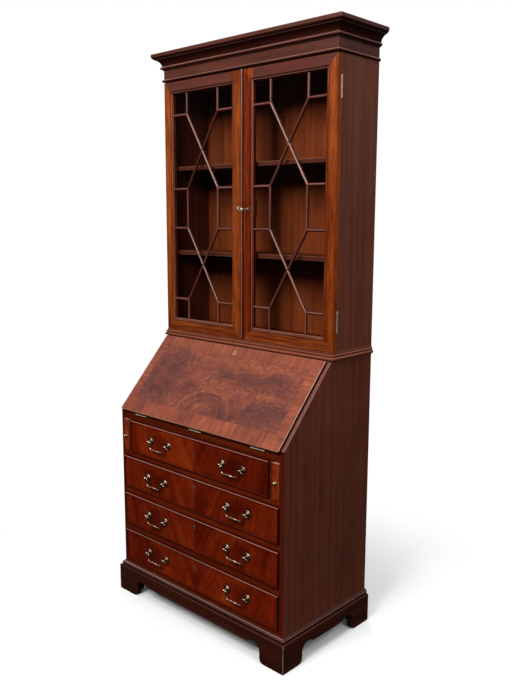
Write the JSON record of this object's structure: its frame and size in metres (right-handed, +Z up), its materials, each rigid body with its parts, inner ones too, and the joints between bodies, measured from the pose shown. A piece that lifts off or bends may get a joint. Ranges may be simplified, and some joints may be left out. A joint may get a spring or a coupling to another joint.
{
  "type": "secretary desk",
  "caption": "Mahogany secretary desk with a glazed bookcase above a slant-front fall, pull-out lopers, long drawers with bail handles and a bracket-footed plinth.",
  "frame": {"origin": "on the floor, under the middle of the whole desk", "axes": "+X to the right of someone facing the desk, +Y towards its back, +Z up"},
  "size_m": [0.889, 0.478, 2.052],
  "materials": {
    "mahogany_side": "dark straight-grained mahogany, satin polish",
    "mahogany_case": "red-brown mahogany, satin polish",
    "mahogany_back": "straight-grained mahogany panel, matt",
    "secondary_wood": "plain oak, unpolished",
    "mahogany_moulding": "dark mahogany moulding, satin polish",
    "mahogany_gallery": "mahogany, satin polish",
    "mahogany_loper": "mahogany, satin polish",
    "mahogany_flame": "bookmatched flame mahogany veneer, polished",
    "mahogany_fall": "figured mahogany veneer with crossbanded border, polished",
    "mahogany_door": "orange-brown mahogany, polished",
    "leather": "dark brown writing leather",
    "glass": "clear glass",
    "brass": "aged brass with dark patina"
  },
  "bodies": {
    "carcase": {"bureau_sides": "mahogany_side", "bureau_top_and_bottom": "mahogany_case", "back_panels": "mahogany_back", "writing_bed": "mahogany_case", "drawer_rails_and_partitions": "mahogany_case", "drawer_runners": "secondary_wood", "bracket_plinth": "mahogany_moulding", "plinth_moulding": "mahogany_moulding", "pigeonhole_gallery": "mahogany_gallery", "fall_hinge_rail_leaves": "brass", "waist_moulding": "mahogany_moulding", "bookcase_sides": "mahogany_side", "bookcase_boards": "mahogany_case", "bookcase_shelves": "mahogany_case", "shelf_pegs": "brass", "frieze": "mahogany_moulding", "cornice_moulding": "mahogany_moulding", "cornice_top_board": "mahogany_back", "door_hinge_case_leaves": "brass"},
    "fall": {"fall_panel": "mahogany_fall", "fall_leather": "leather", "fall_hinge_flap_leaves": "brass", "fall_lock": "brass"},
    "loper_l": {"loper_left": "mahogany_loper", "loper_knob_left": "brass"},
    "loper_r": {"loper_right": "mahogany_loper", "loper_knob_right": "brass"},
    "door_l": {"door_left_frame": "mahogany_door", "door_left_glazing_bars": "mahogany_door", "door_left_glass": "glass", "door_left_hinge_leaves": "brass"},
    "door_r": {"door_right_frame": "mahogany_door", "door_right_glazing_bars": "mahogany_door", "door_right_glass": "glass", "door_right_hinge_leaves": "brass", "door_lock": "brass"},
    "key": {"door_key": "brass"},
    "lock_bolt": {"door_lock_bolt": "brass"},
    "small_drawer_l": {"small_drawer_left": "mahogany_gallery"},
    "small_drawer_r": {"small_drawer_right": "mahogany_gallery"},
    "drawer_1": {"drawer_1_front": "mahogany_flame", "drawer_1_box": "secondary_wood", "drawer_1_fittings": "brass"},
    "bail_1_left_swing": {"bail_1_left": "brass"},
    "bail_1_right_swing": {"bail_1_right": "brass"},
    "drawer_2": {"drawer_2_front": "mahogany_flame", "drawer_2_box": "secondary_wood", "drawer_2_fittings": "brass"},
    "bail_2_left_swing": {"bail_2_left": "brass"},
    "bail_2_right_swing": {"bail_2_right": "brass"},
    "drawer_3": {"drawer_3_front": "mahogany_flame", "drawer_3_box": "secondary_wood", "drawer_3_fittings": "brass"},
    "bail_3_left_swing": {"bail_3_left": "brass"},
    "bail_3_right_swing": {"bail_3_right": "brass"},
    "drawer_4": {"drawer_4_front": "mahogany_flame", "drawer_4_box": "secondary_wood", "drawer_4_fittings": "brass"},
    "bail_4_left_swing": {"bail_4_left": "brass"},
    "bail_4_right_swing": {"bail_4_right": "brass"}
  },
  "joints": [
    {"name": "fall_hinge", "type": "hinge", "parent": "carcase", "child": "fall", "pos_m": [0, -0.2135, 0.72], "axis": [1, 0, 0], "range_deg": [0, 132.4]},
    {"name": "loper_left_slide", "type": "slide", "parent": "carcase", "child": "loper_l", "axis": [0, -1, 0], "range_m": [0, 0.29]},
    {"name": "loper_right_slide", "type": "slide", "parent": "carcase", "child": "loper_r", "axis": [0, -1, 0], "range_m": [0, 0.29]},
    {"name": "door_left_hinge", "type": "hinge", "parent": "carcase", "child": "door_l", "pos_m": [-0.411, 0.0377, 1.48], "axis": [0, 0, -1], "range_deg": [0, 150]},
    {"name": "door_right_hinge", "type": "hinge", "parent": "carcase", "child": "door_r", "pos_m": [0.411, 0.0377, 1.48], "axis": [0, 0, 1], "range_deg": [0, 150]},
    {"name": "key_turn", "type": "hinge", "parent": "door_r", "child": "key", "pos_m": [0.029, 0.0194, 1.479], "axis": [0, 1, 0], "range_deg": [0, 90]},
    {"name": "lock_bolt_throw", "type": "slide", "parent": "door_r", "child": "lock_bolt", "axis": [-1, 0, 0], "range_m": [0, 0.012]},
    {"name": "small_drawer_left_slide", "type": "slide", "parent": "carcase", "child": "small_drawer_l", "axis": [0, -1, 0], "range_m": [0, 0.13]},
    {"name": "small_drawer_right_slide", "type": "slide", "parent": "carcase", "child": "small_drawer_r", "axis": [0, -1, 0], "range_m": [0, 0.13]},
    {"name": "drawer_1_slide", "type": "slide", "parent": "carcase", "child": "drawer_1", "axis": [0, -1, 0], "range_m": [0, 0.29]},
    {"name": "bail_1_left_hinge", "type": "hinge", "parent": "drawer_1", "child": "bail_1_left_swing", "pos_m": [-0.187, -0.234, 0.6379], "axis": [-1, 0, 0], "range_deg": [-12, 95]},
    {"name": "bail_1_right_hinge", "type": "hinge", "parent": "drawer_1", "child": "bail_1_right_swing", "pos_m": [0.187, -0.234, 0.6379], "axis": [-1, 0, 0], "range_deg": [-12, 95]},
    {"name": "drawer_2_slide", "type": "slide", "parent": "carcase", "child": "drawer_2", "axis": [0, -1, 0], "range_m": [0, 0.29]},
    {"name": "bail_2_left_hinge", "type": "hinge", "parent": "drawer_2", "child": "bail_2_left_swing", "pos_m": [-0.208, -0.234, 0.4937], "axis": [-1, 0, 0], "range_deg": [-12, 95]},
    {"name": "bail_2_right_hinge", "type": "hinge", "parent": "drawer_2", "child": "bail_2_right_swing", "pos_m": [0.208, -0.234, 0.4937], "axis": [-1, 0, 0], "range_deg": [-12, 95]},
    {"name": "drawer_3_slide", "type": "slide", "parent": "carcase", "child": "drawer_3", "axis": [0, -1, 0], "range_m": [0, 0.29]},
    {"name": "bail_3_left_hinge", "type": "hinge", "parent": "drawer_3", "child": "bail_3_left_swing", "pos_m": [-0.208, -0.234, 0.3457], "axis": [-1, 0, 0], "range_deg": [-12, 95]},
    {"name": "bail_3_right_hinge", "type": "hinge", "parent": "drawer_3", "child": "bail_3_right_swing", "pos_m": [0.208, -0.234, 0.3457], "axis": [-1, 0, 0], "range_deg": [-12, 95]},
    {"name": "drawer_4_slide", "type": "slide", "parent": "carcase", "child": "drawer_4", "axis": [0, -1, 0], "range_m": [0, 0.29]},
    {"name": "bail_4_left_hinge", "type": "hinge", "parent": "drawer_4", "child": "bail_4_left_swing", "pos_m": [-0.208, -0.234, 0.1977], "axis": [-1, 0, 0], "range_deg": [-12, 95]},
    {"name": "bail_4_right_hinge", "type": "hinge", "parent": "drawer_4", "child": "bail_4_right_swing", "pos_m": [0.208, -0.234, 0.1977], "axis": [-1, 0, 0], "range_deg": [-12, 95]}
  ],
  "couplings": [
    {"joint": "lock_bolt_throw", "follows": "key_turn", "m_per_rad": 0.0076387}
  ]
}
